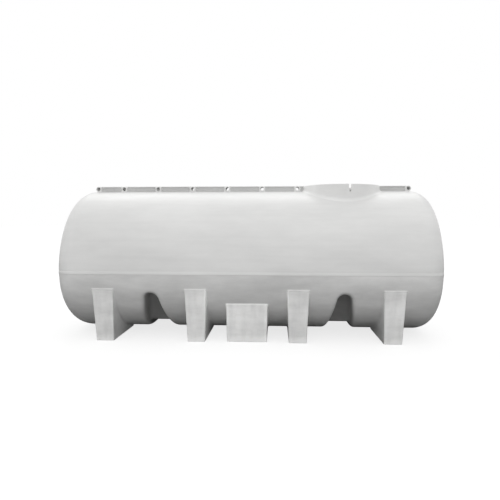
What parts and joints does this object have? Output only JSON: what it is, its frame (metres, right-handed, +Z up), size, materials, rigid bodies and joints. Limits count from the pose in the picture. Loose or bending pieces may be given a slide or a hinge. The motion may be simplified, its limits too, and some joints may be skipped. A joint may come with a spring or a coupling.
{
  "type": "horizontal liquid fertilizer tank",
  "caption": "Free-standing horizontal one-piece moulded plastic tank with domed ends, moulded feet, sump, baffle pockets, a crest rail and a collared manway.",
  "frame": {"origin": "on the ground under the middle of the tank", "axes": "+X along the barrel towards the manway end, +Z up, -Y towards the side seen from the front"},
  "size_m": [4.354, 1.87, 1.73],
  "materials": {
    "shell_plastic": "satin natural white moulded polyethylene",
    "lid_plastic": "satin pale grey moulded plastic"
  },
  "bodies": {
    "root": {"top_left": "shell_plastic", "top_centre": "shell_plastic", "top_manway": "shell_plastic", "end_left_upper": "shell_plastic", "end_right_upper": "shell_plastic", "end_left_lower": "shell_plastic", "end_right_lower": "shell_plastic", "belly_left_outer": "shell_plastic", "belly_left_baffle": "shell_plastic", "belly_left_inner": "shell_plastic", "belly_right_outer": "shell_plastic", "belly_right_baffle": "shell_plastic", "belly_right_inner": "shell_plastic", "belly_sump": "shell_plastic", "foot_front_1": "shell_plastic", "foot_front_2": "shell_plastic", "foot_front_3": "shell_plastic", "foot_front_4": "shell_plastic", "foot_back_1": "shell_plastic", "foot_back_2": "shell_plastic", "foot_back_3": "shell_plastic", "foot_back_4": "shell_plastic", "sump_front": "shell_plastic", "sump_back": "shell_plastic", "pocket_left_front": "shell_plastic", "pocket_left_back": "shell_plastic", "pocket_right_front": "shell_plastic", "pocket_right_back": "shell_plastic", "rail_1": "shell_plastic", "rail_2": "shell_plastic", "rail_3": "shell_plastic", "rail_4": "shell_plastic", "rail_5": "shell_plastic", "rail_6": "shell_plastic", "rail_7": "shell_plastic", "rail_8": "shell_plastic", "manway_collar": "shell_plastic", "manway_deck": "shell_plastic", "manway_neck": "lid_plastic", "manway_lid": "lid_plastic"}
  },
  "joints": []
}
